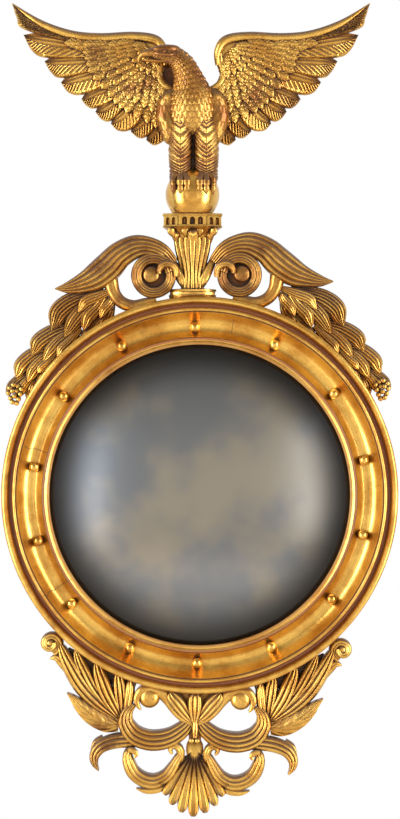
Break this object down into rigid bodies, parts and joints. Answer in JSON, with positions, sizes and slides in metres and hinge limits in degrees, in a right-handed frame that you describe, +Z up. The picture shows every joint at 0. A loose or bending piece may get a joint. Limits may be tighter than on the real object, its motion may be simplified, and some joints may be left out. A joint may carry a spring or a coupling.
{
  "type": "girandole mirror",
  "caption": "Round convex mirror in a gilt cove frame set with balls, crested by a spread eagle on an orb between leafy scrolls and swags, with a pierced scrolled apron.",
  "frame": {"origin": "on the wall, at the centre of the backboard's back face, on the axis of the ring", "axes": "+Z up, +X to the right as one faces the mirror, +Y into the wall, so the mirror faces -Y"},
  "size_m": [0.516, 0.0762, 1.0609],
  "materials": {
    "gilt_wood": "carved softwood, gessoed and water gilt over red clay, worn at the edges",
    "mirror_glass": "convex glass, silvered behind, aged and greyed",
    "pine": "unpainted pine, aged brown",
    "iron": "wrought iron, dark",
    "brass": "stamped brass, dulled"
  },
  "bodies": {
    "frame": {"apron_left": "gilt_wood", "apron_palmette": "gilt_wood", "apron_right": "gilt_wood", "apron_sprig": "gilt_wood", "apron_strap_left": "iron", "apron_strap_right": "iron", "backboard_plank_1": "pine", "backboard_plank_2": "pine", "backboard_plank_3": "pine", "ball_01": "gilt_wood", "ball_02": "gilt_wood", "ball_03": "gilt_wood", "ball_04": "gilt_wood", "ball_05": "gilt_wood", "ball_06": "gilt_wood", "ball_07": "gilt_wood", "ball_08": "gilt_wood", "ball_09": "gilt_wood", "ball_10": "gilt_wood", "ball_11": "gilt_wood", "ball_12": "gilt_wood", "ball_13": "gilt_wood", "ball_14": "gilt_wood", "capital": "gilt_wood", "crest_scroll_left": "gilt_wood", "crest_scroll_right": "gilt_wood", "crest_strap": "iron", "eagle_body": "gilt_wood", "eagle_dowel": "iron", "eagle_wing_left": "gilt_wood", "eagle_wing_right": "gilt_wood", "frame_ring": "gilt_wood", "glazing_blocks": "pine", "hanger_strap_left": "brass", "hanger_strap_right": "brass", "mirror_plate": "mirror_glass", "orb": "gilt_wood", "plinth": "gilt_wood", "swag_left": "gilt_wood", "swag_pins_left": "iron", "swag_pins_right": "iron", "swag_right": "gilt_wood"},
    "hanger_loop_left": {"hanger_loop_left": "brass"},
    "hanger_loop_right": {"hanger_loop_right": "brass"}
  },
  "joints": [
    {"name": "hanger_hinge_left", "type": "hinge", "parent": "frame", "child": "hanger_loop_left", "pos_m": [-0.233, -0.005, 0.085], "axis": [1, 0, 0], "range_deg": [0, 180]},
    {"name": "hanger_hinge_right", "type": "hinge", "parent": "frame", "child": "hanger_loop_right", "pos_m": [0.233, -0.005, 0.085], "axis": [1, 0, 0], "range_deg": [0, 180]}
  ]
}
